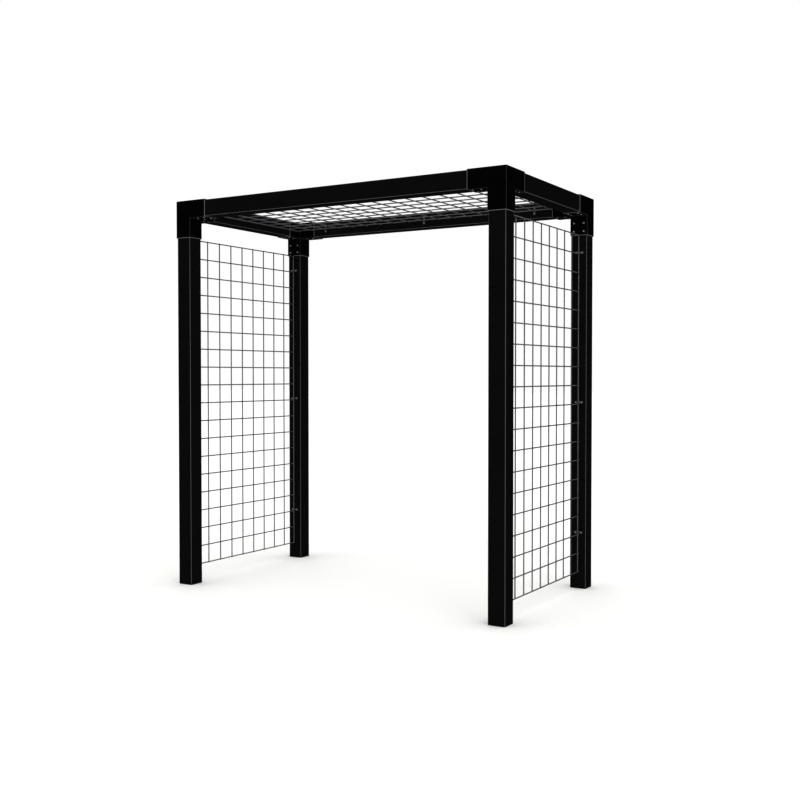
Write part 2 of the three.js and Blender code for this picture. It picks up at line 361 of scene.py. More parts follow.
def placing_tree():
    """Puts a copy of an object on every point, turned by the point's attribute and spun at random."""
    sockets = {"Copy": "Object", "Spin": "Float", "Seed": "Int", "Material": "Material"}
    tree, given = new_tree("Place fasteners", sockets)
    copy = add(tree, "GeometryNodeObjectInfo", {"Object": given["Copy"]}, "Geometry")
    turn = add(
        tree, "GeometryNodeInputNamedAttribute", {"Name": "turn"}, "Attribute", data_type="FLOAT_VECTOR"
    )
    facing = add(tree, "FunctionNodeEulerToRotation", {0: turn})
    points = {"Points": given["Geometry"], "Instance": copy, "Rotation": facing}
    placed = add(tree, "GeometryNodeInstanceOnPoints", points)
    chance = {2: 0.0, 3: given["Spin"], "Seed": given["Seed"]}
    spin = add(tree, "FunctionNodeRandomValue", chance, 1, data_type="FLOAT")
    axis = add(tree, "ShaderNodeCombineXYZ", {"Z": spin})
    rolled = add(tree, "FunctionNodeEulerToRotation", {0: axis})
    turned = add(tree, "GeometryNodeRotateInstances", {"Instances": placed, "Rotation": rolled})
    return end_tree(tree, turned, given["Material"])


def panel_tree():
    """Two layers of straight wires, with a weld wherever they cross."""
    sockets = {
        "Columns": "Int",
        "Rows": "Int",
        "Column pitch": "Float",
        "Row pitch": "Float",
        "Layer drop": "Float",
        "Row wire": "Object",
        "Column wire": "Object",
        "Weld": "Object",
        "Seed": "Int",
        "Material": "Material",
    }
    tree, given = new_tree("Welded panel", sockets)
    # The middles of the outermost wires, from the counts and the pitches.
    gaps_across = add(tree, MATH, {0: given["Columns"], 1: 1.0}, operation="SUBTRACT")
    gaps_along = add(tree, MATH, {0: given["Rows"], 1: 1.0}, operation="SUBTRACT")
    width = add(tree, MATH, {0: gaps_across, 1: given["Column pitch"]}, operation="MULTIPLY")
    height = add(tree, MATH, {0: gaps_along, 1: given["Row pitch"]}, operation="MULTIPLY")
    left = add(tree, MATH, {0: width, 1: -0.5}, operation="MULTIPLY")
    bottom = add(tree, MATH, {0: height, 1: -0.5}, operation="MULTIPLY")
    drop = add(tree, MATH, {0: given["Layer drop"], 1: -1.0}, operation="MULTIPLY")
    half_drop = add(tree, MATH, {0: drop, 1: 0.5}, operation="MULTIPLY")
    joined = add(tree, "GeometryNodeJoinGeometry").node
    # The welds, between the two layers.
    plan = {"Size X": width, "Size Y": height, "Vertices X": given["Columns"], "Vertices Y": given["Rows"]}
    grid = add(tree, "GeometryNodeMeshGrid", plan)
    between = add(tree, "ShaderNodeCombineXYZ", {"Z": half_drop})
    crossings = add(tree, "GeometryNodeTransform", {"Geometry": grid, "Translation": between})
    uneven = {0: (0.88, 0.88, 0.94), 1: (1.12, 1.12, 1.06), "Seed": given["Seed"]}
    size = add(tree, "FunctionNodeRandomValue", uneven, data_type="FLOAT_VECTOR")
    weld = add(tree, "GeometryNodeObjectInfo", {"Object": given["Weld"]}, "Geometry")
    beads = {"Points": crossings, "Instance": weld, "Scale": size}
    tree.links.new(add(tree, "GeometryNodeInstanceOnPoints", beads), joined.inputs[0])
    # The column wires and the row wires.
    columns_start = add(tree, "ShaderNodeCombineXYZ", {"X": left, "Z": drop})
    columns_step = add(tree, "ShaderNodeCombineXYZ", {"X": given["Column pitch"]})
    rows_start = add(tree, "ShaderNodeCombineXYZ", {"Y": bottom})
    rows_step = add(tree, "ShaderNodeCombineXYZ", {"Y": given["Row pitch"]})
    layers = (("Column", columns_start, columns_step), ("Row", rows_start, rows_step))
    for layer, start, step in layers:
        line = {"Count": given[f"{layer}s"], "Start Location": start, "Offset": step}
        points = add(tree, "GeometryNodeMeshLine", line, mode="OFFSET")
        wire = add(tree, "GeometryNodeObjectInfo", {"Object": given[f"{layer} wire"]}, "Geometry")
        wires = add(tree, "GeometryNodeInstanceOnPoints", {"Points": points, "Instance": wire})
        tree.links.new(wires, joined.inputs[0])
    return end_tree(tree, joined.outputs[0], given["Material"])


# ---- Finishes ----


def new_material(name):
    """An empty node material, its tree and the piece's own coordinates."""
    material = bpy.data.materials.new(name)
    material.use_nodes = True
    tree = material.node_tree
    tree.nodes.clear()
    return material, tree, add(tree, "ShaderNodeTexCoord", out="Object")


def end_material(tree, inputs):
    """Ends a material's tree in its shader, with these inputs."""
    shader = add(tree, "ShaderNodeBsdfPrincipled", inputs)
    add(tree, "ShaderNodeOutputMaterial", {"Surface": shader})


def shade_of(shade, factor):
    """A colour made lighter or darker by a factor."""
    return (*(min(1, factor * part) for part in shade[:3]), 1.0)


def mottled(tree, place, size, detail, shades, roughness):
    """Uneven patches about size across, and the colour and the roughness that follow them."""
    patches = add(tree, NOISE, {"Vector": place, "Scale": 1 / size, "Detail": detail})
    share = add(tree, RANGE, {"Value": patches, **MOST})
    tint = add(tree, MIX, {0: share, 6: shades[0][:], 7: shades[1][:]}, 2, data_type="RGBA")
    low, high = roughness
    return patches, tint, add(tree, RANGE, {"Value": patches, **MOST, "To Min": low, "To Max": high})


def satin_powder_coat(finish):
    """Polyester powder coat, baked on steel tube: a soft sheen over a faint orange peel, and a
    paler, smoother line along the tube's corners, which is a painted highlight over a powder that
    draws back a little from the edge."""
    material, tree, place = new_material("satin_black_powder_coat")
    shades = (finish.tube, finish.tube_light)
    _, coat, satin = mottled(tree, place, 90 * MM, 3, shades, (0.36, 0.46))
    rub = add(tree, "ShaderNodeAttribute", out="Fac", attribute_name="rub")
    # The corners are mixed towards a pale colour: a painted highlight.
    coat_with_highlight = add(tree, MIX, {0: rub, 6: coat, 7: finish.tube_edge_highlight[:]}, 2, data_type="RGBA")
    sheen = add(tree, MATH, {0: rub, 1: -0.1, 2: satin}, operation="MULTIPLY_ADD")
    # A slow swell, which is how flat the tube itself is, and over it the orange peel of the coat.
    # The real peel is about 1 mm across, and is drawn at 2 mm to show.
    swell = add(tree, NOISE, {"Vector": place, "Scale": 1 / (160 * MM), "Detail": 1})
    waved = add(tree, BUMP, {"Height": swell, "Distance": 0.6 * MM, "Strength": 0.3})
    peel = add(tree, NOISE, {"Vector": place, "Scale": 1 / (2 * MM), "Detail": 2})
    relief = {"Height": peel, "Distance": 0.05 * MM, "Strength": 0.35, "Normal": waved}
    look = {"Base Color": coat_with_highlight, "Roughness": sheen, "Normal": add(tree, BUMP, relief)}
    end_material(tree, look | {"Specular IOR Level": 0.4})
    return material


def matt_powder_coat(finish):
    """Fine-texture powder coat, baked on folded plate: deeper black and duller than the tubes,
    with a sandy grain, and paler on the folds and rims: a painted highlight, where the coat is also
    thin."""
    material, tree, place = new_material("matt_black_powder_coat")
    rub = add(tree, "ShaderNodeAttribute", out="Fac", attribute_name="rub")
    # The folds and rims are mixed towards a pale colour: a painted highlight.
    coat_with_highlight = add(tree, MIX, {0: rub, 6: finish.sleeve[:], 7: finish.sleeve_edge_highlight[:]}, 2, data_type="RGBA")
    # The real grain is about 0.3 mm across, and is drawn at 1.2 mm to show.
    grain = add(tree, NOISE, {"Vector": place, "Scale": 1 / (1.2 * MM), "Detail": 2})
    dull = add(tree, RANGE, {"Value": grain, **MOST, "To Min": 0.5, "To Max": 0.62})
    sand = add(tree, BUMP, {"Height": grain, "Distance": 0.06 * MM, "Strength": 0.5})
    look = {"Base Color": coat_with_highlight, "Roughness": dull, "Normal": sand}
    end_material(tree, look | {"Specular IOR Level": 0.2})
    return material


def wire_coat(finish):
    """Polyester dip coat on galvanised wire: glossier than the tubes, with slow waves along it
    where the coat ran before it set."""
    material, tree, place = new_material("black_wire_coat")
    shades = (finish.wire, shade_of(finish.wire, 1.5))
    waves, coat, gloss = mottled(tree, place, 12 * MM, 2, shades, (0.28, 0.4))
    run = add(tree, BUMP, {"Height": waves, "Distance": 0.15 * MM, "Strength": 0.4})
    end_material(tree, {"Base Color": coat, "Roughness": gloss, "Normal": run})
    return material


def black_zinc(finish):
    """Zinc-plated spring strip, blackened by passivation: a charcoal grey with a greasy sheen,
    cloudy where the plating took the black unevenly."""
    material, tree, place = new_material("black_zinc_plating")
    shades = (finish.strap, shade_of(finish.strap, 0.6))
    _, film, sheen = mottled(tree, place, 5 * MM, 3, shades, (0.4, 0.52))
    end_material(tree, {"Base Color": film, "Roughness": sheen, "Metallic": 0.2})
    return material


def zinc_flake(finish):
    """Zinc flake coating, dipped and baked on the screws: a dull silver grey, half metal to the
    eye, with cloudy stains and a few bare glints."""
    material, tree, place = new_material("zinc_flake_coating")
    shades = (finish.screw, shade_of(finish.screw, 0.6))
    _, film, dull = mottled(tree, place, 3 * MM, 3, shades, (0.35, 0.5))
    # The flakes are some hundredths of a millimetre, and are drawn at 0.8 mm to show.
    flake = add(tree, NOISE, {"Vector": place, "Scale": 1 / (0.8 * MM), "Detail": 2})
    rough = add(tree, BUMP, {"Height": flake, "Distance": 0.03 * MM, "Strength": 0.4})
    end_material(tree, {"Base Color": film, "Roughness": dull, "Metallic": 0.3, "Normal": rough})
    return material


def moulded_plastic(finish):
    """Injection-moulded polyethylene of the foot inserts: dull, with a spark-eroded grain."""
    material, tree, place = new_material("moulded_black_plastic")
    # The real grain is about 0.1 mm across, and is drawn at 0.9 mm to show.
    shades = (finish.insert, shade_of(finish.insert, 2.2))
    grain, tint, dull = mottled(tree, place, 0.9 * MM, 2, shades, (0.55, 0.7))
    eroded = add(tree, BUMP, {"Height": grain, "Distance": 0.08 * MM, "Strength": 0.5})
    end_material(tree, {"Base Color": tint, "Roughness": dull, "Normal": eroded})
    return material


def floor_finish(stage):
    """Painted studio floor: pale and dead matt, with a barely visible roller texture."""
    material, tree, place = new_material("pale_floor_paint")
    shades = (stage.floor, shade_of(stage.floor, 0.97))
    _, paint, matt = mottled(tree, place, 25 * MM, 3, shades, (0.85, 0.95))
    end_material(tree, {"Base Color": paint, "Roughness": matt, "Specular IOR Level": 0.1})
    return material


FINISHES = {
    "powder_coat": satin_powder_coat,
    "bracket_coat": matt_powder_coat,
    "mesh_coat": wire_coat,
    "black_screw": zinc_flake,
    "strap": black_zinc,
    "plug_plastic": moulded_plastic,
}
made_finishes = {}


def finish_for(name):
    """A finish by name, made the first time that it is asked for."""
    if name not in made_finishes:
        made_finishes[name] = FINISHES[name](bpy.context.scene.arch_finish)
    return made_finishes[name]


# ---- Places, all read from the frame ----


def middle(node):
    """The middle of a node's box."""
    low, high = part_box(node)
    return (low + high) / 2


def inner_face(corner):
    """The Y of the post face that looks at the other post of the same side."""
    low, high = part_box(f"post_{corner}")
    return high.y if CORNERS[corner][1] < 0 else low.y


def sleeve_measures(corner):
    """The middle of the corner cube, half its width and the length of its legs from its middle."""
    post_low, post_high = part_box(f"post_{corner}")
    low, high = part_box(f"corner_bracket_{corner}")
    proud = post_low.x - low.x if CORNERS[corner][0] < 0 else high.x - post_high.x
    half = (post_high.x - post_low.x) / 2 + proud
    centre = Vector(((post_low.x + post_high.x) / 2, (post_low.y + post_high.y) / 2, high.z - half))
    return centre, half, centre.z - low.z


def sleeve_screws(corner):
    """Places of the twelve screws of a corner sleeve: seat point and outward direction.
    The upright leg's four come from their nodes; both beam legs repeat them underneath."""
    x, y = CORNERS[corner]
    centre, half, _ = sleeve_measures(corner)
    seat_y = centre.y - y * half
    places = []
    for row in SCREW_ROWS:
        for side in SCREW_SIDES:
            spot = middle(f"bracket_screw_{corner}_{row}_{side}")
            along = centre.z - spot.z
            aside = spot.x - centre.x
            under = centre.z - half
            places.append(((spot.x, seat_y, spot.z), (0, -y, 0)))
            places.append(((centre.x - x * along, centre.y + aside, under), (0, 0, -1)))
            places.append(((centre.x + aside, centre.y - y * along, under), (0, 0, -1)))
    return places


def side_clip_places(corner):
    """Places of the clips on a post: the point of the face under the wire, and out of the face."""
    spots = [middle(f"mesh_clip_{corner}_{level}") for level in CLIP_LEVELS]
    face = inner_face(corner)
    return [((spot.x, face, spot.z), (0, -CORNERS[corner][1], 0)) for spot in spots]


def roof_clip_places(side):
    """Places of the clips on a long beam, in the same form."""
    low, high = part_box(f"beam_{side}")
    inward = 1 if side == "front" else -1
    face = high.y if side == "front" else low.y
    spots = [middle(f"roof_clip_{side}_{place}") for place in CLIP_PLACES]
    return [((spot.x, face, spot.z), (0, inward, 0)) for spot in spots]


def clip_screw_spread(node):
    """Distance from a clip's wire to each of its screws."""
    low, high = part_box(node)
    return max(high.x - low.x, high.z - low.z) / 2 - STRAP_END


def clip_screws(places, along, node):
    """Screw places beside the wire for clips like a node, whose straps lie along a direction."""
    step = Vector(along) * clip_screw_spread(node)
    return [(Vector(point) + sign * step, out) for point, out in places for sign in (-1, 1)]


def wire_height(node, face):
    """How far an edge wire's middle stands off the face that its clips are screwed to."""
    low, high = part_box(node)
    bar = min(high.x - low.x, high.z - low.z)
    return min(abs(low.y + bar / 2 - face), abs(high.y - bar / 2 - face))


# ---- Shapes ----


def tube_piece(name, node, tube, holes, hole_radius):
    """A drilled square tube with rolled corners that fills a node's box."""
    low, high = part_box(node)
    extent = high - low
    axis = max(range(3), key=lambda i: extent[i])
    half = sorted(extent)[0] / 2
    inner = half - tube.wall
    tightest = 0.5 * MM
    inner_corner = max(tube.corner - tube.wall, tightest)
    run = extent[axis]
    outside = ((tube.burr, 0), (0, tube.burr), (0, run - tube.burr), (tube.burr, run))
    rings = [square_ring(half - inset, tube.corner - inset, tube.steps, z) for inset, z in outside]
    rings += [square_ring(inner, inner_corner, tube.steps, z) for z in (run, 0)]
    mesh = mesh_from(name, loft(rings, closed=True), 35)
    mark_tube_edge_highlight(mesh, half, tube.corner)
    turn = {
        0: Matrix.Rotation(math.pi / 2, 4, "Y"),
        1: Matrix.Rotation(-math.pi / 2, 4, "X"),
        2: Matrix.Identity(4),
    }[axis]
    start = (low + high) / 2
    start[axis] = low[axis]
    mesh.transform(Matrix.Translation(start) @ turn)
    obj = new_object(name, mesh)
    cut(obj, drills(holes, hole_radius, 3 * tube.wall))
    return obj


def mark_tube_edge_highlight(mesh, half, corner):
    """Marks the middle of each rolled outer corner of a tube that stands along Z, for the painted
    highlight along the corners.
    """
    reach = half - corner
    rub = mesh.attributes.new("rub", "FLOAT", "POINT")
    for vertex in mesh.vertices:
        across = abs(vertex.co.x) - reach
        over = abs(vertex.co.y) - reach
        if across > 0 and over > 0 and math.hypot(across, over) > 0.8 * corner:
            turn = math.atan2(over, across)
            rub.data[vertex.index].value = 1 - abs(turn / (math.pi / 4) - 1)


def sleeve_shell(half, reach, sleeve):
    """Three open-ended square sleeves that meet in a cube, as one folded and welded shell.
    The legs run along +X, +Y and +Z from the cube's middle."""
    inside = half - sleeve.wall
    steps = [-half, -inside, inside, half, reach]

    def within(point, width, start):
        return any(
            all(abs(point[other]) < width for other in range(3) if other != leg) and point[leg] > start
            for leg in range(3)
        )

    def solid(cell):
        if any(index < 0 or index >= len(steps) - 1 for index in cell):
            return False
        point = [(steps[index] + steps[index + 1]) / 2 for index in cell]
        return within(point, half, -half) and not within(point, inside, -inside)

    bm = bmesh.new()
    corners = {}

    def corner(key):
        if key not in corners:
            corners[key] = bm.verts.new([steps[index] for index in key])
        return corners[key]

    cells = [(i, j, k) for i in range(4) for j in range(4) for k in range(4)]
    for cell in filter(solid, cells):
        for axis in range(3):
            for side in (0, 1):
                beyond = list(cell)
                beyond[axis] += 1 if side else -1
                if solid(tuple(beyond)):
                    continue
                ring = []
                for du, dv in ((0, 0), (1, 0), (1, 1), (0, 1)):
                    key = list(cell)
                    key[axis] += side
                    key[(axis + 1) % 3] += du
                    key[(axis + 2) % 3] += dv
                    ring.append(corner(tuple(key)))
                bm.faces.new(ring)
    bmesh.ops.recalc_face_normals(bm, faces=bm.faces)
    bmesh.ops.dissolve_limit(bm, angle_limit=math.radians(1), verts=bm.verts, edges=bm.edges)
    for axis in range(3):
        along = Vector([float(axis == i) for i in range(3)])
        # Loops behind each rim, where the rim's painted highlight starts and fades out.
        for back in (sleeve.thin, 1.5 * sleeve.thin):
            everything = bm.verts[:] + bm.edges[:] + bm.faces[:]
            bmesh.ops.bisect_plane(bm, geom=everything, plane_co=along * (reach - back), plane_no=along)
    return bm


def weigh_folds(bm, half, reach, sleeve):
    """Sets how far each edge is rounded: fully on folds and welds, slightly at the open ends."""
    weights = bm.edges.layers.float.new("bevel_weight_edge")

    def level(face):
        axis = max(range(3), key=lambda i: abs(face.normal[i]))
        return abs(face.calc_center_median()[axis])

    for edge in bm.edges:
        levels = [level(face) for face in edge.link_faces]
        if any(abs(value - reach) < 1e-6 for value in levels):
            edge[weights] = sleeve.rim / sleeve.fold
        elif all(abs(value - half) < 1e-6 for value in levels):
            edge[weights] = 1.0


def sleeve_piece(corner, sleeve, hole_radius):
    """One corner sleeve, mirrored into its corner, rounded and drilled."""
    x, y = CORNERS[corner]
    centre, half, reach = sleeve_measures(corner)
    bm = sleeve_shell(half, reach, sleeve)
    weigh_folds(bm, half, reach, sleeve)
    place = Matrix.Translation(centre) @ Matrix.Diagonal((-x, -y, -1, 1))
    bmesh.ops.transform(bm, matrix=place, verts=bm.verts)
    mesh = mesh_from(f"corner_sleeve_{corner}", bm)
    obj = new_object(mesh.name, mesh)
    folds = {"width": sleeve.fold, "segments": 4, "limit_method": "WEIGHT", "use_clamp_overlap": True}
    settle(obj, ("BEVEL", folds))
    smooth(obj.data, 35)
    settle(obj, EVEN_NORMALS)
    mark_sleeve_edge_highlight(obj.data, centre, reach, sleeve)
    cut(obj, drills(sleeve_screws(corner), hole_radius, 2 * sleeve.wall))
    return obj


def hexagon(flats, angle):
    """Radius of a hexagon's outline at an angle from the middle of a flat."""
    sector = math.pi / 3
    turned = (angle + sector / 2) % sector - sector / 2
    return flats / 2 / math.cos(turned)


def screw_mesh(name, flange, flats, head, shank, run, pitch=1.8 * MM):
    """A self-drilling screw along -Z with its flange seated on z = 0: a washer flange, a
    chamfered hexagon with a shallow dish, a ridged shank and a drill point."""
    count = 24
    lip = 0.3 * head
    root = 0.82 * shank
    point = 2.2 * shank
    plain = 1.5 * MM
    rings = [round_ring(0.15 * shank, -run, count), round_ring(root, -run + point, count)]
    for ridge in range(int((run - point - plain) / pitch)):
        z = -run + point + ridge * pitch
        for radius, share in ((root, 0.25), (shank, 0.5), (root, 0.75)):
            rings.append(round_ring(radius, z + share * pitch, count))
    rings += [round_ring(shank, -1 * MM, count), round_ring(shank, 0, count)]
    washer = ((0.96, 0), (1, 0.35), (0.97, 0.75))
    rings += [round_ring(share * flange / 2, level * lip, count) for share, level in washer]
    angles = [2 * math.pi * i / count for i in range(count)]
    radii = [hexagon(flats, angle) for angle in angles]
    crown = 0.95 * flats / 2
    chamfer = math.tan(math.radians(30))
    rings.append([(r * math.cos(a), r * math.sin(a), lip) for r, a in zip(radii, angles)])
    rings.append(
        [(r * math.cos(a), r * math.sin(a), head - (r - crown) * chamfer) for r, a in zip(radii, angles)]
    )
    dish = ((1, 1), (0.62, 1), (0.5, 0.88))
    rings += [round_ring(share * crown, level * head, count) for share, level in dish]
    return mesh_from(name, loft(rings), 32)


def strap_piece(name, span, height, wire, fastener):
    """A clip strap along X, screwed to a face at z = 0: flat feet with round ends and a narrow
    hump over a wire that stands at a height, folded from strip."""
    thick = fastener.strap
    half_width = fastener.strap_width / 2
    foot = STRAP_REST + thick / 2
    slack = 0.5 * MM
    arm = wire / 2 + slack + thick / 2
    bend = 2.4 * MM
    nose = 4 * MM
    burr = 0.25 * MM
    # The left half of the strap's side view: the round end, the flat foot, the bend and the hump.
    path = [(nose * (1 - math.cos(math.pi / 12 * i)) - span / 2, foot) for i in range(7)]
    path += [(x, foot) for x in (-span / 2 + 1.8 * nose, -(arm + bend))]
    for i in range(1, 6):
        angle = -math.pi / 2 + i * math.pi / 10
        path.append((-(arm + bend) + bend * math.cos(angle), foot + bend + bend * math.sin(angle)))
    for i in range(7):
        angle = math.pi - i * math.pi / 12
        path.append((arm * math.cos(angle), height + arm * math.sin(angle)))
    path += [(-x, z) for x, z in reversed(path[:-1])]
    bm = bmesh.new()
    rows = []
    for x, z in path:
        from_end = span / 2 - abs(x)
        width = half_width
        if from_end < nose:
            width -= nose - math.sqrt(nose**2 - (nose - from_end) ** 2)
        rows.append([bm.verts.new((x, width * (column / 3 - 1), z)) for column in range(7)])
    for first, second in zip(rows, rows[1:]):
        for i in range(6):
            bm.faces.new((first[i], first[i + 1], second[i + 1], second[i]))
    obj = new_object(name, mesh_from(name, bm))
    settle(obj, ("SOLIDIFY", {"thickness": thick, "offset": 0, "use_even_offset": True}))
    rounding = {"width": burr, "segments": 2, "limit_method": "ANGLE", "angle_limit": math.radians(60)}
    settle(obj, ("BEVEL", rounding))
    smooth(obj.data, 40)
    settle(obj, EVEN_NORMALS)
    return obj


def wire_mesh(name, run, diameter, axis):
    """A straight wire with rounded ends, along X or Y, with its middle at the origin."""
    count = 12
    radius = diameter / 2
    half = run / 2
    ends = [(0.35, 0.0), (0.8, 0.18), (1.0, 0.45)]
    rings = [round_ring(share * radius, -half + depth * radius, count) for share, depth in ends]
    rings += [round_ring(share * radius, half - depth * radius, count) for share, depth in reversed(ends)]
    mesh = mesh_from(name, loft(rings), 50)
    mesh.transform(Matrix.Rotation(math.pi / 2, 4, "Y" if axis == "X" else "X"))
    return new_object(name, mesh)


def weld_mesh(name, width, thickness):
    """The flattened bead that is pressed out where two wires are welded."""
    count = 8
    levels = [(-0.5, 0.35), (-0.3, 0.85), (0.0, 1.0), (0.3, 0.85), (0.5, 0.35)]
    rings = [round_ring(share * width / 2, z * thickness, count) for z, share in levels]
    return new_object(name, mesh_from(name, loft(rings), 60))


def foot_insert_mesh(node, name):
    """A ribbed cup pressed into the end of a post, with a shallow recess underneath."""
    low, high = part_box(node)
    half = (high.x - low.x) / 2
    height = high.z - low.z
    wall = 2.5 * MM
    base = 4 * MM
    corner = 2.5 * MM
    steps = 4
    fins = 4
    # Each ring is how far it lies inside the widest one, and its height in millimetres or ribs.
    foot = ((9, 0.8), (7.5, 0), (1.2, 0), (0, 1))
    rib = ((1.4, 0.2), (1.4, 0.6), (0, 0.75), (0, 1))
    rings = [square_ring(half - inset * MM, corner, steps, z * MM) for inset, z in foot]
    rings.append(square_ring(half, corner, steps, base))
    step = (height - base) / (fins + 0.5)
    for fin in range(fins):
        for inset, share in rib:
            rings.append(square_ring(half - inset * MM, corner, steps, base + (fin + share) * step))
    rings.append(square_ring(half - 1 * MM, corner, steps, height))
    rings.append(square_ring(half - wall, corner, steps, height))
    rings.append(square_ring(half - wall - 0.5 * MM, corner, steps, base))
    mesh = mesh_from(name, loft(rings), 30)
    centre = (low + high) / 2
    mesh.transform(Matrix.Translation((centre.x, centre.y, low.z)))
    return mesh


def points_object(name, places, along=None):
    """Points for the placing tree. A copy's +Z turns to the outward direction of its place, and
    its +X to the direction along, where one is given."""
    mesh = bpy.data.meshes.new(name)
    mesh.from_pydata([tuple(point) for point, _ in places], [], [])
    turns = mesh.attributes.new("turn", "FLOAT_VECTOR", "POINT")
    for index, (_, out) in enumerate(places):
        z_axis = Vector(out)
        x_axis = Vector(along) if along else z_axis.orthogonal().normalized()
        rotation = Matrix((x_axis, z_axis.cross(x_axis), z_axis)).transposed()
        turns.data[index].vector = rotation.to_euler()
    return new_object(name, mesh)


# ---- Operators: one for each group of like pieces ----


class ARCH_OT_posts(bpy.types.Operator):
    """Build the four drilled posts of square tube"""

    bl_idname = "arch.posts"
    bl_label = "Posts"

    def execute(self, context):
        tube = context.scene.arch_tube
        for corner in CORNERS:
            upright = [place for place in sleeve_screws(corner) if place[1][1]]
            face = inner_face(corner)
            holes = [((point[0], face, point[2]), out) for point, out in upright]
            node = f"mesh_clip_{corner}_{CLIP_LEVELS[0]}"
            holes += clip_screws(side_clip_places(corner), (1, 0, 0), node)
            piece = tube_piece(f"post_tube_{corner}", f"post_{corner}", tube, holes, TUBE_HOLE)
            complete(piece, "powder_coat", "powder_coat", f"post_{corner}")
        return {"FINISHED"}


class ARCH_OT_beams(bpy.types.Operator):
    """Build the two long and two short drilled beams of square tube"""

    bl_idname = "arch.beams"
    bl_label = "Beams"

    def execute(self, context):
        tube = context.scene.arch_tube
        for name in ("front", "back", "left", "right"):
            low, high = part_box(f"beam_{name}")
            holes = []
            for corner in CORNERS:
                if name not in corner:
                    continue
                for point, out in sleeve_screws(corner):
                    on_beam = low.x < point[0] < high.x and low.y < point[1] < high.y
                    if out[2] and on_beam:
                        holes.append(((point[0], point[1], low.z), out))
            if name in ("front", "back"):
                node = f"roof_clip_{name}_{CLIP_PLACES[0]}"
                holes += clip_screws(roof_clip_places(name), (0, 0, 1), node)
            piece = tube_piece(f"beam_tube_{name}", f"beam_{name}", tube, holes, TUBE_HOLE)
            complete(piece, "powder_coat", "powder_coat", f"beam_{name}")
        return {"FINISHED"}


class ARCH_OT_sleeves(bpy.types.Operator):
    """Build the four three-way corner sleeves"""

    bl_idname = "arch.sleeves"
    bl_label = "Corner sleeves"

    def execute(self, context):
        for corner in CORNERS:
            piece = sleeve_piece(corner, context.scene.arch_sleeve, SLEEVE_HOLE)
            complete(piece, "bracket_coat", "bracket_coat", f"corner_bracket_{corner}")
        return {"FINISHED"}


class ARCH_OT_sleeve_screws(bpy.types.Operator):
    """Drive the twelve hexagon screws of each corner sleeve"""

    bl_idname = "arch.sleeve_screws"
    bl_label = "Sleeve screws"

    def execute(self, context):
        fastener = context.scene.arch_fastener
        mesh = screw_mesh("sleeve_screw", fastener.flange, fastener.flats, **SLEEVE_SCREW)
        screw = new_object("sleeve_screw", mesh)
        tree = placing_tree()
        for number, corner in enumerate(CORNERS):
            piece = points_object(f"sleeve_screws_{corner}", sleeve_screws(corner))
            plating = finish_for("black_screw")
            seed = fastener.seed + number
            grow(piece, tree, {"Copy": screw, "Spin": math.pi / 3, "Seed": seed, "Material": plating})
            nodes = [f"bracket_screw_{corner}_{row}_{side}" for row in SCREW_ROWS for side in SCREW_SIDES]
            complete(piece, "black_screw", "black_screw", *nodes)
        discard(screw)
        return {"FINISHED"}


class ARCH_OT_wire_panels(bpy.types.Operator):
    """Weld the two side panels and the roof panel of wire mesh"""

    bl_idname = "arch.wire_panels"
    bl_label = "Wire panels"

    def execute(self, context):
        panel = context.scene.arch_panel
        tree = panel_tree()
        upright = Matrix.Rotation(math.pi / 2, 4, "Z") @ Matrix.Rotation(math.pi / 2, 4, "X")
        turns = {
            "side_left": upright @ Matrix.Rotation(math.pi, 4, "Y"),
            "side_right": upright,
            "roof": Matrix.Identity(4),
        }
        for name, turn in turns.items():
            self.weld_panel(name, turn, panel, tree)
        return {"FINISHED"}

    def weld_panel(self, name, turn, panel, tree):
        """One panel, laid out flat and turned into place. The wires that the clips hold, which
        are the row wires on the roof and the column wires on the sides, lie in the node's plane."""
        low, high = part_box(f"mesh_{name}")
        bar = min(high - low)
        spans = [abs(value) for value in (turn.inverted().to_3x3() @ (high - low))]
        width, height = spans[0] - bar, spans[1] - bar
        columns = round(width / panel.pitch) + 1
        rows = round(height / panel.pitch) + 1
        drop = panel.wire - panel.sink
        row_wire = wire_mesh("row_wire", width + 2 * panel.stub, panel.wire, "X")
        column_wire = wire_mesh("column_wire", height + 2 * panel.stub, panel.wire, "Y")
        weld = weld_mesh("weld", panel.nugget, 0.7 * panel.wire)
        piece = new_object(f"wire_panel_{name}", bpy.data.meshes.new(name))
        values = {
            "Columns": columns,
            "Rows": rows,
            "Column pitch": width / (columns - 1),
            "Row pitch": height / (rows - 1),
            "Layer drop": drop,
            "Row wire": row_wire,
            "Column wire": column_wire,
            "Weld": weld,
            "Seed": panel.seed,
            "Material": finish_for("mesh_coat"),
        }
        grow(piece, tree, values)
        lift = 0 if name == "roof" else drop
        place = Matrix.Translation((low + high) / 2) @ turn @ Matrix.Translation((0, 0, lift))
        piece.data.transform(place)
        complete(piece, "mesh_coat", "mesh_coat", f"mesh_{name}")
        for tool in (row_wire, column_wire, weld):
            discard(tool)


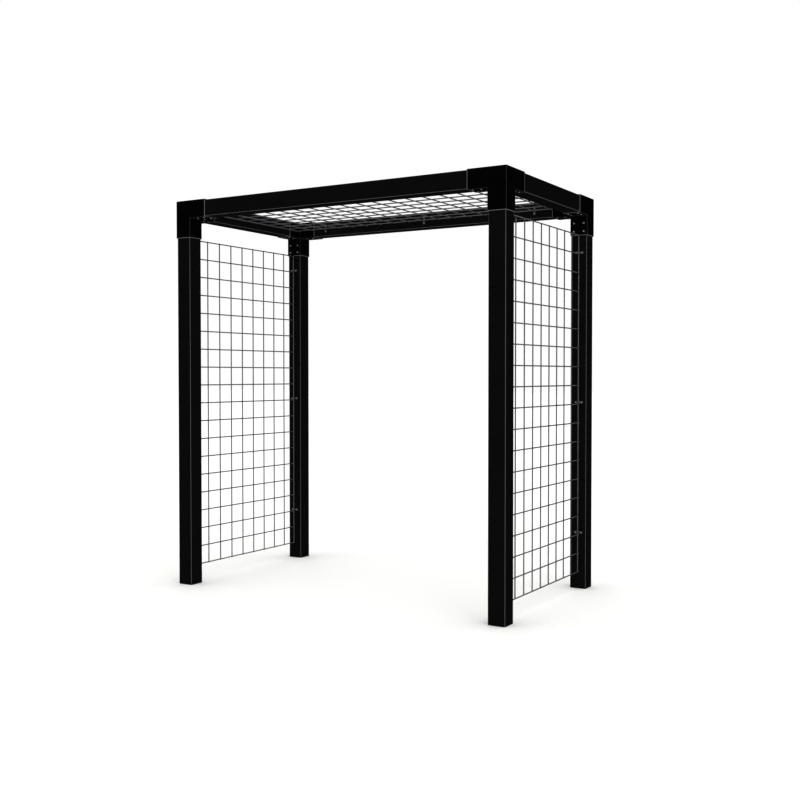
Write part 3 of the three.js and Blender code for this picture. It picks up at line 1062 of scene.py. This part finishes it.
class ARCH_OT_clips(bpy.types.Operator):
    """Screw on the clips that hold the edge wires of the panels"""

    bl_idname = "arch.clips"
    bl_label = "Mesh clips"

    def execute(self, context):
        fastener = context.scene.arch_fastener
        mesh = screw_mesh("clip_screw", fastener.clip_flange, fastener.clip_flats, **CLIP_SCREW)
        screw = new_object("clip_screw", mesh)
        tree = placing_tree()
        for number, corner in enumerate(CORNERS):
            nodes = [f"mesh_clip_{corner}_{level}" for level in CLIP_LEVELS]
            side = corner.split("_")[1]
            stand = wire_height(f"mesh_side_{side}", inner_face(corner))
            self.fix(corner, nodes, side_clip_places(corner), (1, 0, 0), stand, screw, tree, number)
        for number, side in enumerate(("front", "back"), len(CORNERS)):
            nodes = [f"roof_clip_{side}_{place}" for place in CLIP_PLACES]
            places = roof_clip_places(side)
            stand = wire_height("mesh_roof", places[0][0][1])
            self.fix(f"roof_{side}", nodes, places, (0, 0, 1), stand, screw, tree, number)
        discard(screw)
        return {"FINISHED"}

    def fix(self, name, nodes, places, along, stand, screw, tree, number):
        """The straps of one post or beam, and their screws."""
        fastener = bpy.context.scene.arch_fastener
        wire = bpy.context.scene.arch_panel.wire
        span = 2 * (clip_screw_spread(nodes[0]) + STRAP_END)
        strap = strap_piece("strap", span, stand, wire, fastener)
        piece = points_object(f"clip_straps_{name}", places, along)
        grow(piece, tree, {"Copy": strap, "Spin": 0.0, "Seed": 0, "Material": finish_for("strap")})
        complete(piece, "strap", "powder_coat", *nodes)
        discard(strap)
        seats = [
            (point + Vector(out) * (STRAP_REST + fastener.strap), out)
            for point, out in clip_screws(places, along, nodes[0])
        ]
        screws = points_object(f"clip_screws_{name}", seats)
        plating = finish_for("black_screw")
        seed = fastener.seed + CLIP_SEEDS + number
        grow(screws, tree, {"Copy": screw, "Spin": math.pi / 3, "Seed": seed, "Material": plating})
        complete(screws, "black_screw", "black_screw")


class ARCH_OT_foot_inserts(bpy.types.Operator):
    """Press the ribbed plastic inserts into the posts"""

    bl_idname = "arch.foot_inserts"
    bl_label = "Foot inserts"

    def execute(self, context):
        for corner in CORNERS:
            name = f"foot_insert_{corner}"
            piece = new_object(name, foot_insert_mesh(f"foot_plug_{corner}", name))
            complete(piece, "plug_plastic", "plug_plastic", f"foot_plug_{corner}")
        return {"FINISHED"}


class ARCH_OT_stage(bpy.types.Operator):
    """Set up the pale floor, the soft lights and the camera"""

    bl_idname = "arch.stage"
    bl_label = "Stage"

    def execute(self, context):
        stage = context.scene.arch_stage
        self.add_floor(stage)
        self.add_world(stage)
        self.add_lights(stage)
        self.add_camera()
        # The gamma deepens the blacks, so that thin wires still stand out against white.
        context.scene.view_settings.view_transform = "Standard"
        context.scene.view_settings.gamma = DISPLAY_GAMMA
        return {"FINISHED"}

    def add_floor(self, stage):
        """A wide floor, whose far edge is lost in the white behind it."""
        bm = bmesh.new()
        bmesh.ops.create_grid(bm, x_segments=8, y_segments=8, size=FLOOR_REACH)
        floor = new_object("floor", mesh_from("floor", bm))
        floor.data.materials.append(floor_finish(stage))
        floor.visible_glossy = False

    def add_world(self, stage):
        """A white tent: even light from all round, which stays dim in gloss surfaces."""
        world = bpy.data.worlds.new("tent")
        world.use_nodes = True
        tree = world.node_tree
        tree.nodes.clear()
        ray = add(tree, "ShaderNodeLightPath").node.outputs
        diffuse = {0: ray["Is Diffuse Ray"], 1: stage.tent, 2: stage.gloss}
        lit = add(tree, MATH, diffuse, operation="MULTIPLY_ADD")
        strength = add(tree, MATH, {0: ray["Is Camera Ray"], 1: lit}, operation="MAXIMUM")
        white = add(tree, "ShaderNodeBackground", {"Color": (1, 1, 1, 1), "Strength": strength})
        add(tree, "ShaderNodeOutputWorld", {"Surface": white})
        bpy.context.scene.world = world

    def add_lights(self, stage):
        """A square softbox to the right of the camera, which draws the upright edges."""
        side = bpy.data.lights.new("side", "AREA")
        side.shape = "SQUARE"
        side.size = SOFTBOX["side"]
        side.energy = stage.side
        softbox = new_object("side", side)
        softbox.location = SOFTBOX["at"]
        aim = Vector(SOFTBOX["aim"]) - softbox.location
        softbox.rotation_euler = aim.to_track_quat("-Z", "Y").to_euler()

    def add_camera(self):
        """A camera at chest height, in front of the arch and to its right."""
        camera = bpy.data.cameras.new("camera")
        camera.sensor_width = CAMERA["sensor"]
        camera.lens = CAMERA["lens"]
        eye = new_object("camera", camera)
        eye.location = CAMERA["at"]
        eye.rotation_euler = (math.radians(CAMERA["tilt"]), 0, math.radians(CAMERA["turn"]))
        bpy.context.scene.camera = eye


class VIEW3D_PT_arch(bpy.types.Panel):
    """Lists the arch's pieces"""

    bl_label = "Trellis Arch"
    bl_space_type = "VIEW_3D"
    bl_region_type = "UI"
    bl_category = "Arch"

    def draw(self, context):
        layout = self.layout
        for operator in STEPS:
            layout.operator(operator.bl_idname)
        for name, settings in SETTINGS.items():
            box = layout.box()
            group = getattr(context.scene, name)
            for key in settings.__annotations__:
                box.prop(group, key)


STEPS = (
    ARCH_OT_stage,
    ARCH_OT_posts,
    ARCH_OT_beams,
    ARCH_OT_sleeves,
    ARCH_OT_sleeve_screws,
    ARCH_OT_wire_panels,
    ARCH_OT_clips,
    ARCH_OT_foot_inserts,
)


def register():
    for name, settings in SETTINGS.items():
        bpy.utils.register_class(settings)
        setattr(bpy.types.Scene, name, bpy.props.PointerProperty(type=settings))
    for made in (*STEPS, VIEW3D_PT_arch):
        bpy.utils.register_class(made)


def unregister():
    for made in reversed((*STEPS, VIEW3D_PT_arch)):
        bpy.utils.unregister_class(made)
    for name, settings in SETTINGS.items():
        delattr(bpy.types.Scene, name)
        bpy.utils.unregister_class(settings)


def main():
    """Builds everything in order."""
    register()
    for operator in STEPS:
        group, name = operator.bl_idname.split(".")
        getattr(getattr(bpy.ops, group), name)()


if __name__ == "__main__":
    main()
